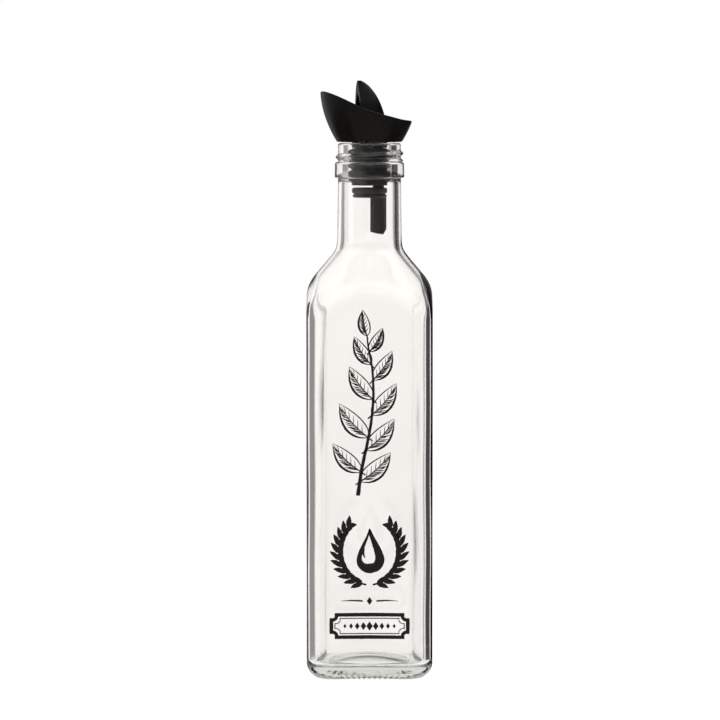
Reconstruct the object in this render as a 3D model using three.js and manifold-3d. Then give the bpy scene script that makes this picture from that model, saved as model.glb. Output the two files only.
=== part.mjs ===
// Oil dispenser bottle: a square bottle of clear glass with a threaded neck finish, and a pourer that
// is pushed into its bore. The pourer is a round black cup with a slanted rim and a hood over the
// outlet. It sits on a ribbed stopper plug, and a flanged vent tube hangs below the plug.
// Millimetres, +Z up. The origin is the middle of the base, on the surface that the bottle stands on.
// The bottle's front looks along -Y. The pouring lip points to -X, turned a little to the front.

import * as THREE from "three";
import { mergeVertices } from "three/addons/utils/BufferGeometryUtils.js";
import Module from "manifold-3d";

// Glass body: a square prism with round corners, a round heel and a push-up under the base
const BODY_HALF = 29.8;
const BODY_CORNER = 9;
const HEEL_RADIUS = 8;
const HEEL_STEPS = 6;
const PUSH_UP_RADIUS = 18;
const PUSH_UP_HEIGHT = 4;
const PUSH_UP_STEPS = 3;
const INNER_HALF = 26.5;
const INNER_CORNER = 8;
const INNER_HEEL = 3;
const INNER_HEEL_STEPS = 5;
const INNER_FLOOR = 6.5;
const INNER_DOME_RADIUS = 22.5;
const INNER_DOME_HEIGHT = 3.4;

// Where a heel draws the sides in, its corners get tighter by this share of the inset
const CORNER_SHARE = 0.5;

// Shoulder and neck: a cone, blended into the neck, that the body's four faces cut off in arches
const NECK_RADIUS = 15.1;
const NECK_BORE = 12.1;
const CONE_TOP = 203;
const INNER_CONE_TOP = 202;
const CONE_SLOPE = 0.863;
const NECK_BLEND = 2;
const SHOULDER_BLEND = 4.4;
const SHOULDER_LOW = 170;
const SHOULDER_HIGH = 214;
const SHOULDER_STEPS = 14;

// Finish: the rim, a one-start right-hand thread and the bead below it
const GLASS_HEIGHT = 253.2;
const FINISH_RADIUS = 14.9;
const RIM_ROUND = 1;
const INNER_RIM_STEPS = 2;
const BORE_RADIUS = 10.7;
const BORE_LOW = 239.5;
const BORE_FLARE = 4.5;
const BEAD_RADIUS = 16.5;
const BEAD_LOW = 236.8;
const BEAD_HIGH = 244.3;
const BEAD_ROUND = 1.6;
const THREAD_LOW = 244.7;
const THREAD_PITCH = 3.6;
const THREAD_DEPTH = 1.2;
const THREAD_WIDTH = 2.8;
const THREAD_START = -60;
const THREAD_END = 430;
const THREAD_FADE = 25;
const THREAD_STEPS = 11;

// The glass has this many sides, drawn together at the body's corners. A small round has EDGE_STEPS.
const GLASS_SIDES = 48;
const CORNER_GATHER = 0.16;
const EDGE_STEPS = 3;

// Pourer cup, measured from its underside: a flared bowl with a rim that rises to the lip
const POURER_TURN = 15;
const CUP_BASE = 253.7;
const CUP_FOOT_RADIUS = 15.4;
const CUP_FOOT_EDGE = 0.8;
const CUP_FLARE = 8;
const CUP_UPRIGHT_AT = 26;
const CUP_WALL = 1.6;
const CUP_FLOOR = 3;
const CUP_FILLET = 2.4;
const CUP_BLANK_HEIGHT = 27;
const CUP_STEPS = 8;
const CUP_SIDES = 56;
const RIM_MIDDLE = 13.4;
const RIM_SLOPE = 0.24;
const LIP_START = -7;
const LIP_SLOPE = 0.33;
const REAR_START = 12;
const REAR_SLOPE = 0.17;
const RIM_BLEND = 3;
const RIM_STEPS = 36;
const COLLAR_RADIUS = 8.45;
const COLLAR_DEPTH = 2.8;

// Hood: a quarter of an egg shape, open towards the lip
const HOOD_FACE = -5;
const HOOD_LEAN = 2.5;
const HOOD_LENGTH = 13.5;
const HOOD_HALF_WIDTH = 7.5;
const HOOD_TOP = 29.3;
const HOOD_TAPER = 0.15;
const HOOD_SIDES = 24;
const HOOD_ROWS = 16;
const ARCH_LENGTH = 11.5;
const ARCH_HALF_WIDTH = 5.6;
const ARCH_TOP = 22.5;
const ARCH_LEAD = 3;

// Channels through the pourer: oil out on the lip's side, air in on the other
const POUR_AT = -3.3;
const POUR_RADIUS = 3.6;
const VENT_AT = 4.4;
const VENT_RADIUS = 1.7;

// Stopper plug: a core with three sealing ribs
const PLUG_TOP = 250.6;
const PLUG_LOW = 233.2;
const PLUG_RADIUS = 8.5;
const RIB_RADIUS = 10.3;
const RIB_ROUND = 0.8;
const RIBS = [[236.1, 240.6], [241.2, 245.1], [246.3, 250.2]];
const SOCKET_RADIUS = 3;
const SOCKET_TOP = 240.5;

// Vent tube: a spigot, two discs and the tube, whose lower end is cut at a slant
const SPIGOT_RADIUS = 2.7;
const SPIGOT_TOP = 240;
const DISCS = [[227.4, 228.8, 8.1], [229.3, 232, 8.4]];
const DISC_GROOVE_RADIUS = 7.5;
const DISC_ROUND = 0.5;
const TUBE_RADIUS = 3.9;
const TUBE_BORE = 2.6;
const TUBE_LOW = 209.8;
const TUBE_END_RISE = 1.1;
const TUBE_TIP = 1.2;
const TUBE_TIP_SLOPE = 1.1;
const SIDE_HOLE_RADIUS = 1.3;
const SIDE_HOLE_Z = 224;
const ROUND_SIDES = 32;
const HOLE_SIDES = 16;

// Cuts and joins reach this far past the face that they meet. Closer points than WELD are one point.
const OVERLAP = 1;
const WELD = 1e-4;

const wasm = await Module();
wasm.setup();

const radians = THREE.MathUtils.degToRad;

// Solids for joins and cuts

function solid(geometry) {
  const bare = geometry.index ? geometry.toNonIndexed() : geometry.clone();
  bare.deleteAttribute("normal");
  bare.deleteAttribute("uv");
  const merged = mergeVertices(bare, WELD);
  const corners = merged.index.array;
  const triangles = [];
  for (let i = 0; i < corners.length; i += 3) {
    const [a, b, c] = corners.slice(i, i + 3);
    if (a !== b && b !== c && c !== a) triangles.push(a, b, c);
  }
  return new wasm.Manifold(new wasm.Mesh({
    numProp: 3,
    vertProperties: new Float32Array(merged.attributes.position.array),
    triVerts: new Uint32Array(triangles),
  }));
}

function geometryOf(body) {
  const mesh = body.getMesh();
  const geometry = new THREE.BufferGeometry();
  geometry.setAttribute("position", new THREE.BufferAttribute(mesh.vertProperties, 3));
  geometry.setIndex(new THREE.BufferAttribute(mesh.triVerts, 1));
  geometry.computeVertexNormals();
  return geometry;
}

// A solid of revolution about +Z from [radius, height] points, listed from the axis round to the axis
function turned(points, sides) {
  const profile = points.map(([radius, height]) => new THREE.Vector2(radius, height));
  return new THREE.LatheGeometry(profile, sides).rotateX(Math.PI / 2);
}

function rod(radius, low, high, x, sides = ROUND_SIDES) {
  const geometry = new THREE.CylinderGeometry(radius, radius, high - low, sides);
  return geometry.rotateX(Math.PI / 2).translate(x, 0, (low + high) / 2);
}

function hole(radius, low, high, x) {
  return rod(radius, low, high, x, HOLE_SIDES);
}

// A closed [x, z] outline made into a slab from -depth / 2 to depth / 2 along Y
function slab(outline, depth) {
  const shape = new THREE.Shape(outline.map(([x, z]) => new THREE.Vector2(x, z)));
  const geometry = new THREE.ExtrudeGeometry(shape, { depth, bevelEnabled: false });
  return geometry.rotateX(Math.PI / 2).translate(0, depth / 2, 0);
}

// Glass bottle

function smoothMin(a, b, blend) {
  const overlap = Math.max(blend - Math.abs(a - b), 0) / blend;
  return Math.min(a, b) - overlap * overlap * blend / 4;
}

// A line that is flat below zero and rises at 45 degrees above it, with a round bend
function hinge(value, blend) {
  return (value + Math.hypot(value, blend)) / 2;
}

// Distance from the middle of a square with round corners to its edge, in one direction
function squareRadius(angle, half, corner) {
  const quarter = Math.PI / 2;
  const folded = Math.abs(angle - quarter * Math.round(angle / quarter));
  const flat = half - corner;
  if (Math.tan(folded) * half <= flat) return half / Math.cos(folded);
  const inCorner = corner * corner - flat * flat * (1 - Math.sin(2 * folded));
  return flat * (Math.cos(folded) + Math.sin(folded)) + Math.sqrt(inCorner);
}

// How far the thread stands out of the finish in one direction, at one height
function threadRise(angle, z) {
  const turns = (z - THREAD_LOW) / THREAD_PITCH;
  const nearest = Math.round(turns - angle / (2 * Math.PI));
  const travelled = THREE.MathUtils.radToDeg(angle) + 360 * nearest;
  const offset = z - THREAD_LOW - THREAD_PITCH * travelled / 360;
  const toEnd = Math.min(travelled - THREAD_START, THREAD_END - travelled);
  const fade = THREE.MathUtils.clamp(toEnd / THREAD_FADE, 0, 1);
  const across = 2 * offset / THREAD_WIDTH;
  return THREAD_DEPTH * fade * Math.max(1 - across * across, 0);
}

// Rings of the outside, from the middle of the base up to the rim
function outerRings() {
  const rings = [];
  for (let i = 0; i <= PUSH_UP_STEPS; i++) {
    const part = i / PUSH_UP_STEPS;
    rings.push({ radius: PUSH_UP_RADIUS * part, z: PUSH_UP_HEIGHT * (1 - part * part), half: BODY_HALF });
  }
  for (let i = 0; i <= HEEL_STEPS; i++) {
    const turn = Math.PI / 2 * i / HEEL_STEPS;
    const inset = HEEL_RADIUS * (1 - Math.sin(turn));
    rings.push({ radius: Infinity, z: HEEL_RADIUS * (1 - Math.cos(turn)), half: BODY_HALF - inset });
  }
  for (let i = 0; i <= SHOULDER_STEPS; i++) {
    const z = THREE.MathUtils.lerp(SHOULDER_LOW, SHOULDER_HIGH, i / SHOULDER_STEPS);
    const radius = NECK_RADIUS + hinge(CONE_SLOPE * (CONE_TOP - z), NECK_BLEND);
    rings.push({ radius, z, half: BODY_HALF });
  }
  rings.push({ radius: FINISH_RADIUS, z: BEAD_LOW, half: BODY_HALF });
  rings.push({ radius: BEAD_RADIUS, z: BEAD_LOW, half: BODY_HALF });
  for (let i = 0; i <= EDGE_STEPS; i++) {
    const turn = Math.PI / 2 * i / EDGE_STEPS;
    const radius = BEAD_RADIUS - BEAD_ROUND * (1 - Math.cos(turn));
    rings.push({ radius, z: BEAD_HIGH - BEAD_ROUND * (1 - Math.sin(turn)), half: BODY_HALF });
  }
  const rimLow = GLASS_HEIGHT - RIM_ROUND;
  for (let i = 1; i <= THREAD_STEPS; i++) {
    const z = THREE.MathUtils.lerp(BEAD_HIGH, rimLow, i / THREAD_STEPS);
    rings.push({ radius: FINISH_RADIUS, z, half: BODY_HALF, threaded: true });
  }
  for (let i = 1; i <= EDGE_STEPS; i++) {
    const turn = Math.PI / 2 * i / EDGE_STEPS;
    const radius = FINISH_RADIUS - RIM_ROUND * (1 - Math.cos(turn));
    rings.push({ radius, z: rimLow + RIM_ROUND * Math.sin(turn), half: BODY_HALF });
  }
  return rings;
}

// Rings of the inside, from the rim down to the middle of the floor
function innerRings() {
  const rings = [];
  for (let i = 0; i <= INNER_RIM_STEPS; i++) {
    const turn = Math.PI / 2 * i / INNER_RIM_STEPS;
    const radius = BORE_RADIUS + RIM_ROUND * (1 - Math.sin(turn));
    rings.push({ radius, z: GLASS_HEIGHT - RIM_ROUND * (1 - Math.cos(turn)), half: INNER_HALF });
  }
  rings.push({ radius: BORE_RADIUS, z: BORE_LOW, half: INNER_HALF });
  rings.push({ radius: NECK_BORE, z: BORE_LOW - BORE_FLARE, half: INNER_HALF });
  for (let i = SHOULDER_STEPS; i >= 0; i--) {
    const z = THREE.MathUtils.lerp(SHOULDER_LOW, SHOULDER_HIGH, i / SHOULDER_STEPS);
    const radius = NECK_BORE + hinge(CONE_SLOPE * (INNER_CONE_TOP - z), NECK_BLEND);
    rings.push({ radius, z, half: INNER_HALF });
  }
  for (let i = 0; i <= INNER_HEEL_STEPS; i++) {
    const turn = Math.PI / 2 * i / INNER_HEEL_STEPS;
    const inset = INNER_HEEL * (1 - Math.cos(turn));
    const z = INNER_FLOOR + INNER_HEEL * (1 - Math.sin(turn));
    rings.push({ radius: Infinity, z, half: INNER_HALF - inset });
  }
  for (let i = PUSH_UP_STEPS; i >= 0; i--) {
    const part = i / PUSH_UP_STEPS;
    const z = INNER_FLOOR + INNER_DOME_HEIGHT * (1 - part * part);
    rings.push({ radius: INNER_DOME_RADIUS * part, z, half: INNER_HALF });
  }
  return rings;
}

function bottleGlass() {
  const outside = outerRings();
  const rings = [...outside, ...innerRings()];
  const geometry = turned(rings.map(({ z }) => [1, z]), GLASS_SIDES);
  const position = geometry.attributes.position;
  for (let i = 0; i < position.count; i++) {
    const ring = rings[i % rings.length];
    const isOutside = i % rings.length < outside.length;
    const even = 2 * Math.PI * Math.floor(i / rings.length) / GLASS_SIDES;
    const angle = even + CORNER_GATHER * Math.sin(4 * even);
    const inset = (isOutside ? BODY_HALF : INNER_HALF) - ring.half;
    const corner = (isOutside ? BODY_CORNER : INNER_CORNER) - CORNER_SHARE * inset;
    let radius = squareRadius(angle, ring.half, corner);
    if (Number.isFinite(ring.radius)) radius = smoothMin(ring.radius, radius, SHOULDER_BLEND);
    if (ring.threaded) radius += threadRise(angle, ring.z);
    position.setXYZ(i, radius * Math.cos(angle), radius * Math.sin(angle), ring.z);
  }
  return geometryOf(solid(geometry));
}

// Pourer head: cup, hood and collar in one moulding

function cupRadius(height) {
  const below = 1 - height / CUP_UPRIGHT_AT;
  return CUP_FOOT_RADIUS + CUP_FLARE * (1 - below * below);
}

function rimHeight(x) {
  const lip = LIP_SLOPE * hinge(LIP_START - x, RIM_BLEND);
  const rear = REAR_SLOPE * hinge(x - REAR_START, RIM_BLEND);
  return RIM_MIDDLE - RIM_SLOPE * x + lip + rear;
}

function cupBlank() {
  const points = [[0, 0], [CUP_FOOT_RADIUS - CUP_FOOT_EDGE, 0]];
  for (let i = 0; i <= CUP_STEPS; i++) {
    const height = THREE.MathUtils.lerp(CUP_FOOT_EDGE, CUP_BLANK_HEIGHT, i / CUP_STEPS);
    points.push([cupRadius(height), height]);
  }
  const filletTop = CUP_FLOOR + CUP_FILLET;
  for (let i = CUP_STEPS; i >= 0; i--) {
    const height = THREE.MathUtils.lerp(filletTop, CUP_BLANK_HEIGHT, i / CUP_STEPS);
    points.push([cupRadius(height) - CUP_WALL, height]);
  }
  const filletRadius = cupRadius(filletTop) - CUP_WALL;
  for (let i = 1; i <= EDGE_STEPS; i++) {
    const turn = Math.PI / 2 * i / EDGE_STEPS;
    const radius = filletRadius - CUP_FILLET * (1 - Math.cos(turn));
    points.push([radius, filletTop - CUP_FILLET * Math.sin(turn)]);
  }
  points.push([0, CUP_FLOOR]);
  return solid(turned(points, CUP_SIDES));
}

// All that is above the rim, out to past the cup's wall
function aboveRim() {
  const reach = cupRadius(CUP_UPRIGHT_AT) + CUP_WALL;
  const outline = [];
  for (let i = 0; i <= RIM_STEPS; i++) {
    const x = THREE.MathUtils.lerp(-reach, reach, i / RIM_STEPS);
    outline.push([x, rimHeight(x)]);
  }
  outline.push([reach, 2 * CUP_BLANK_HEIGHT], [-reach, 2 * CUP_BLANK_HEIGHT]);
  return solid(slab(outline, 2 * reach));
}

// A pointed egg on the cup's floor, cut off above one height and behind the hood's leaning face
function eggShape(length, halfWidth, top, low, lead) {
  const egg = new THREE.SphereGeometry(1, HOOD_SIDES, HOOD_ROWS).rotateX(Math.PI / 2);
  const position = egg.attributes.position;
  for (let i = 0; i < position.count; i++) {
    const z = position.getZ(i);
    const taper = Math.pow(Math.max(1 - z * z, 0), HOOD_TAPER);
    position.setXY(i, position.getX(i) * taper, position.getY(i) * taper);
  }
  egg.scale(length, halfWidth, top - CUP_FLOOR).translate(HOOD_FACE, 0, CUP_FLOOR);
  const lean = Math.tan(radians(HOOD_LEAN));
  const faceAt = (height) => HOOD_FACE - lead - lean * (height - CUP_FLOOR);
  const back = HOOD_FACE + 2 * length;
  const high = 2 * top;
  const behind = slab([[faceAt(low), low], [back, low], [back, high], [faceAt(high), high]], 4 * halfWidth);
  return solid(egg).intersect(solid(behind));
}

function pourerHead() {
  const rooted = CUP_FLOOR / 2;
  const hood = eggShape(HOOD_LENGTH, HOOD_HALF_WIDTH, HOOD_TOP, rooted, 0);
  const arch = eggShape(ARCH_LENGTH, ARCH_HALF_WIDTH, ARCH_TOP, CUP_FLOOR, ARCH_LEAD);
  const collar = solid(rod(COLLAR_RADIUS, -COLLAR_DEPTH, rooted, 0));
  const pour = solid(hole(POUR_RADIUS, -2 * COLLAR_DEPTH, 2 * CUP_FLOOR, POUR_AT));
  const vent = solid(hole(VENT_RADIUS, -2 * COLLAR_DEPTH, 2 * CUP_FLOOR, VENT_AT));
  return geometryOf(cupBlank().subtract(aboveRim()).add(hood).add(collar)
    .subtract(arch).subtract(pour).subtract(vent));
}

// Stopper plug

function stopperPlug() {
  const points = [[0, PLUG_LOW], [PLUG_RADIUS, PLUG_LOW]];
  for (const [low, high] of RIBS) {
    points.push([PLUG_RADIUS, low], [RIB_RADIUS - RIB_ROUND, low]);
    points.push([RIB_RADIUS, low + RIB_ROUND], [RIB_RADIUS, high - RIB_ROUND]);
    points.push([RIB_RADIUS - RIB_ROUND, high], [PLUG_RADIUS, high]);
  }
  points.push([PLUG_RADIUS, PLUG_TOP], [0, PLUG_TOP]);
  const body = solid(turned(points, ROUND_SIDES));
  const pour = solid(hole(POUR_RADIUS, PLUG_LOW - OVERLAP, PLUG_TOP + OVERLAP, POUR_AT));
  const vent = solid(hole(VENT_RADIUS, PLUG_LOW - OVERLAP, PLUG_TOP + OVERLAP, VENT_AT));
  const socket = solid(hole(SOCKET_RADIUS, PLUG_LOW - OVERLAP, SOCKET_TOP, VENT_AT));
  return geometryOf(body.subtract(pour).subtract(vent).subtract(socket));
}

// Vent tube with its discs and spigot

function ventTube() {
  const discLow = DISCS[0][0];
  const discHigh = DISCS[1][1];
  const points = [[0, discLow]];
  for (const [low, high, radius] of DISCS) {
    points.push([DISC_GROOVE_RADIUS, low], [radius - DISC_ROUND, low], [radius, low + DISC_ROUND]);
    points.push([radius, high - DISC_ROUND], [radius - DISC_ROUND, high], [DISC_GROOVE_RADIUS, high]);
  }
  points.push([0, discHigh]);
  const discs = solid(turned(points, ROUND_SIDES));
  const tube = solid(rod(TUBE_RADIUS, TUBE_LOW, discLow + OVERLAP, VENT_AT));
  const spigot = solid(hole(SPIGOT_RADIUS, discHigh - OVERLAP, SPIGOT_TOP, VENT_AT));
  const near = VENT_AT - 2 * TUBE_RADIUS;
  const far = VENT_AT + 2 * TUBE_RADIUS;
  const tip = VENT_AT + TUBE_TIP;
  const belowEnd = solid(slab([
    [near, TUBE_LOW - TUBE_RADIUS],
    [far, TUBE_LOW - TUBE_RADIUS],
    [far, TUBE_LOW + TUBE_TIP_SLOPE * (far - tip)],
    [tip, TUBE_LOW],
    [VENT_AT - TUBE_RADIUS, TUBE_LOW + TUBE_END_RISE],
    [near, TUBE_LOW + 2 * TUBE_END_RISE],
  ], 4 * TUBE_RADIUS));
  const bore = solid(hole(TUBE_BORE, TUBE_LOW - OVERLAP, discLow, VENT_AT));
  const vent = solid(hole(VENT_RADIUS, discLow - OVERLAP, SPIGOT_TOP + OVERLAP, VENT_AT));
  const pour = solid(hole(POUR_RADIUS, discLow - OVERLAP, discHigh + OVERLAP, POUR_AT));
  const reach = 2 * TUBE_RADIUS;
  const sideHole = new THREE.CylinderGeometry(SIDE_HOLE_RADIUS, SIDE_HOLE_RADIUS, reach, HOLE_SIDES);
  sideHole.rotateZ(Math.PI / 2).translate(VENT_AT - reach / 2, 0, SIDE_HOLE_Z);
  return geometryOf(discs.add(tube).add(spigot)
    .subtract(belowEnd).subtract(bore).subtract(vent).subtract(pour).subtract(solid(sideHole)));
}

function piece(name, geometry, material) {
  const mesh = new THREE.Mesh(geometry, new THREE.MeshStandardMaterial(material));
  mesh.name = name;
  return mesh;
}

const clearGlass = { color: 0xe8eee9, roughness: 0.04, metalness: 0, transparent: true, opacity: 0.35 };
const blackPlastic = { color: 0x131313, roughness: 0.22, metalness: 0 };
const darkRubber = { color: 0x2b2928, roughness: 0.6, metalness: 0 };
const greyPlastic = { color: 0x35322f, roughness: 0.45, metalness: 0 };

const pourer = new THREE.Group();
pourer.rotation.z = radians(POURER_TURN);
const head = piece("pourer_head", pourerHead(), blackPlastic);
head.position.z = CUP_BASE;
pourer.add(head);
pourer.add(piece("stopper_plug", stopperPlug(), darkRubber));
pourer.add(piece("vent_tube", ventTube(), greyPlastic));

const dispenser = new THREE.Group();
dispenser.add(piece("bottle", bottleGlass(), clearGlass));
dispenser.add(pourer);

export default dispenser;
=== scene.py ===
import math

import bpy
import numpy as np
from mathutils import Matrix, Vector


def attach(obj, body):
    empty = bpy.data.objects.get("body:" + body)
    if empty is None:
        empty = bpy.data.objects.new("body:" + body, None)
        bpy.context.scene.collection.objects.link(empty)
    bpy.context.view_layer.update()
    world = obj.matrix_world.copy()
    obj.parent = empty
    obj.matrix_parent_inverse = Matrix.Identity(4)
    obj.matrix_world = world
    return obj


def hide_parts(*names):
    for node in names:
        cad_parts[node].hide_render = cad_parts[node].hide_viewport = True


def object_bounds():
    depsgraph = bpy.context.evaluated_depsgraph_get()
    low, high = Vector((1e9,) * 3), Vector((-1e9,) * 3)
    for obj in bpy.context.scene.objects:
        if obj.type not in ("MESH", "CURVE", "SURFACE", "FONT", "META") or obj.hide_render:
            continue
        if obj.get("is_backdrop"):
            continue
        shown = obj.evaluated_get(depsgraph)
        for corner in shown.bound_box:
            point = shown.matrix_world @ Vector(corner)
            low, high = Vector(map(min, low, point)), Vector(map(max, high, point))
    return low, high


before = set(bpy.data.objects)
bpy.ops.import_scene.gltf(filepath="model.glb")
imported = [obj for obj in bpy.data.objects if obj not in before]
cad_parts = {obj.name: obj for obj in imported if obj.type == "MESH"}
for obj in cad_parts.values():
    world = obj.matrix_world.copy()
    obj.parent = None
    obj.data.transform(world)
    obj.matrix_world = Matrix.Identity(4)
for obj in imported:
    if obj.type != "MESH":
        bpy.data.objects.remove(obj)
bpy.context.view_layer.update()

# Sizes are in millimetres, as in the part's source, and meshes are turned into metres at the end.
MM = 0.001

# Glass body
BODY_HALF = 29.8
BODY_CORNER = 9
HEEL_RADIUS = 8
PUSH_UP_RADIUS = 18
PUSH_UP_HEIGHT = 4
INNER_HALF = 26.5
INNER_CORNER = 8
INNER_HEEL = 3
INNER_FLOOR = 6.5
INNER_DOME_RADIUS = 22.5
INNER_DOME_HEIGHT = 3.4
CORNER_SHARE = 0.5
KNURL_DEPTH = 1.1
KNURL_COLUMNS = 4
KNURL_FADE = 0.6
INNER_WAVE = 0.22

# Waves of the inner wall: share, length, number round the bottle, start
INNER_WAVES = [(1.0, 23, 2, 0), (0.7, 11, -3, 1), (0.5, 37, 5, 0)]
WAVE_SUM = 2.2
WAVE_FADE_LOW = 20
WAVE_FADE_HIGH = 12

# Number of rings in each stretch of the glass
PUSH_UP_RINGS = 12
HEEL_RINGS = 15
SIDE_RINGS = 34
SHOULDER_RINGS = 56
THREAD_RINGS = 34
RIM_RINGS = 8
INNER_SHOULDER_RINGS = 46
INNER_SIDE_RINGS = 30
INNER_HEEL_RINGS = 12
INNER_DOME_RINGS = 12
BEARING_PLACES = (0.2, 0.4, 0.6, 0.8)

# Shoulder and neck
NECK_RADIUS = 15.1
NECK_BORE = 12.1
CONE_TOP = 203
INNER_CONE_TOP = 202
CONE_SLOPE = 0.863
NECK_BLEND = 2
SHOULDER_BLEND = 4.4
SHOULDER_LOW = 170
SHOULDER_HIGH = 214

# Finish
GLASS_HEIGHT = 253.2
FINISH_RADIUS = 14.9
RIM_ROUND = 1
BORE_RADIUS = 10.7
BORE_LOW = 239.5
BORE_FLARE = 4.5
BEAD_RADIUS = 16.5
BEAD_LOW = 236.8
BEAD_HIGH = 244.3
BEAD_ROUND = 1.6
BEAD_EDGE = 0.7
BEAD_FILLET = 0.6
BORE_ROUNDS = [2, 1.8]
THREAD_LOW = 244.7
THREAD_PITCH = 3.6
THREAD_DEPTH = 1.2
THREAD_WIDTH = 2.8
THREAD_START = -60
THREAD_END = 430
THREAD_FADE = 25
THREAD_POWER = 1.3
THREAD_RUN_IN = 0.3
GLASS_SIDES = 288

# Pourer cup, measured from its underside
POURER_TURN = 15
CUP_BASE = 253.7
CUP_FOOT_RADIUS = 15.4
CUP_FLARE = 8
CUP_UPRIGHT_AT = 26
CUP_WALL = 1.6
CUP_FLOOR = 3
CUP_FILLET = 2.4
RIM_MIDDLE = 13.4
RIM_SLOPE = 0.24
LIP_START = -7
LIP_SLOPE = 0.33
REAR_START = 12
REAR_SLOPE = 0.17
RIM_BLEND = 3
COLLAR_RADIUS = 8.45
COLLAR_DEPTH = 2.8
EDGE_ROUND = 0.6
RIM_EDGE = 1.1

# Hood
HOOD_FACE = -5
HOOD_LEAN = 2.5
HOOD_LENGTH = 13.5
HOOD_HALF_WIDTH = 7.5
HOOD_TOP = 29.3
HOOD_TAPER = 0.15
ARCH_LENGTH = 11.5
ARCH_HALF_WIDTH = 5.6
ARCH_TOP = 22.5

# Channels, plug and vent tube
POUR_AT = -3.3
POUR_RADIUS = 3.6
VENT_AT = 4.4
VENT_RADIUS = 1.7
PLUG_TOP = 250.6
PLUG_LOW = 233.2
PLUG_RADIUS = 8.5
RIB_RADIUS = 10.3
RIB_ROUND = 0.8
RIBS = [(236.1, 240.6), (241.2, 245.1), (246.3, 250.2)]
SOCKET_RADIUS = 3
SOCKET_TOP = 240.5
SPIGOT_RADIUS = 2.7
SPIGOT_TOP = 240
DISCS = [(227.4, 228.8, 8.1), (229.3, 232, 8.4)]
DISC_GROOVE_RADIUS = 7.5
DISC_ROUND = 0.5
TUBE_RADIUS = 3.9
TUBE_BORE = 2.6
TUBE_LOW = 209.8
TUBE_END_RISE = 1.1
TUBE_TIP = 1.2
TUBE_TIP_SLOPE = 1.1
SIDE_HOLE_RADIUS = 1.3
SIDE_HOLE_Z = 224

# Print on the front face
INK_BACK = -BODY_HALF + 0.02
INK_FRONT = -BODY_HALF - 0.02
INK_LEVELS = 9
INK_STEP = 0.005
INK_SEED = 7
STEM = [(-5.5, 88), (-3.6, 101), (-0.4, 116), (1.6, 131), (1.4, 146), (-0.6, 158), (-1.2, 163)]

# Leaves of the sprig: place along the stem, side, length
SPRIG_LEAVES = [(0.5, 1, 20), (0.85, -1, 19), (1.55, 1, 20), (1.95, -1, 21), (2.65, 1, 19),
                (3.15, -1, 19), (3.75, 1, 16.5), (4.3, -1, 15.5), (4.8, 1, 13)]
LEAF_RISE = 43
LEAF_RISE_GAIN = 4
LEAF_SLIMNESS = 0.2
LEAF_BEND = 0.07
HATCHES = 13
VEINS = 5
WREATH_MIDDLE = (0.0, 62.0)
WREATH_HALF_WIDTH = 14.6
WREATH_HALF_HEIGHT = 16.2
WREATH_START = -84
WREATH_SWEEP = 132
WREATH_PAIRS = 11
WREATH_LEAF = 6.4
WREATH_LEAF_HALF = 1.15
WREATH_SPREAD = 34
DROP_REACH = 5.6
DROP_HALF_HEIGHT = 9.4
DIVIDER_Z = 38.2
DIVIDER_LOZENGE = 1.9
PLAQUE_HALF = 18.0
PLAQUE_LOW = 21.0
PLAQUE_HIGH = 31.6
PLAQUE_NOTCH = 2.4
PLAQUE_LINES = [(0, 1.7), (1.7, 0.45)]
ROW_Z = 26.3
ROW_STEP = 2.9
ROW_LOZENGE = 2.2
ROW_SHRINK = 0.28
NEAT = 0.03

# Camera, in metres and degrees
CAMERA_AT = (-0.0045, -2.0, 0.278)
CAMERA_DOWN = 3.662
CAMERA_LENS = 210.4
SENSOR = 36

# Studio: light panels round the bottle, each as a place from front (0) to back (1) and a brightness,
# first as seen through the glass, then as mirrored in surfaces
PANELS = [(0.0, 0.25), (0.006, 0.25), (0.02, 0.1), (0.36, 0.1), (0.4, 1.05),
          (0.6, 1.05), (0.64, 0.06), (0.91, 0.06), (0.96, 1.1), (1.0, 1.1)]
MIRRORED_PANELS = [(0.0, 0.75), (0.22, 0.75), (0.4, 0.2), (0.5, 0.12), (0.9, 0.08), (1.0, 0.9)]
LEFT_FILL = 0.3
LEFT_HIGH_FILL = 0.6
LEFT_SHEEN = 0.6
CROWN_LIGHT = 1.4
FRONT_LIGHT = 1.05
PANEL_LIGHT = (1.0, 0.967, 0.957, 1)
PANEL_TURN = -6
OVERHEAD_LIGHT = 1.0
ZENITH_SHARE = 0.1
FLOOR_RADIUS = 1
FLOOR_GLOW = 0.9
SHADE_RADIUS = 0.038
SHADE_DEPTH = 0.0003
SHADE_GLOW = 0.5
DISC_SIDES = 72
LIGHT_BOUNCES = 24

# Where each light of the studio begins and ends, as a part of the direction looked in
OVERHEAD_SPAN = (0.65, 0.8)
ZENITH_SPAN = (0.85, 0.92)
BELOW_SPAN = (-0.24, -0.16)
PANEL_TOP_SPAN = (0.25, 0.45)
PANEL_TOP_SHARE = 0.05
PANEL_LOW_SPAN = (-0.13, -0.03)
PANEL_LOW_SHARES = (0.98, 1.07)
FILL_SPAN = (-0.35, 0.0)
FILL_HEIGHT_SPAN = (0.1, 0.4)
FRONT_SPAN = (-0.97, -0.92)
FRONT_HEIGHT_SPAN = (-0.15, -0.05)
SLANT_SPAN = (0.15, 0.4)
LEVEL_SHARE = 0.2
CROWN_LOW_SPAN = (0.35, 0.5)
CROWN_HIGH_SPAN = (0.82, 0.9)
CROWN_ZENITH_SHARE = 0.05
SHEEN_SPAN = (-0.6, -0.2)
SHEEN_SLANT_SPAN = (0.25, 0.5)


# Meshes

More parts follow.
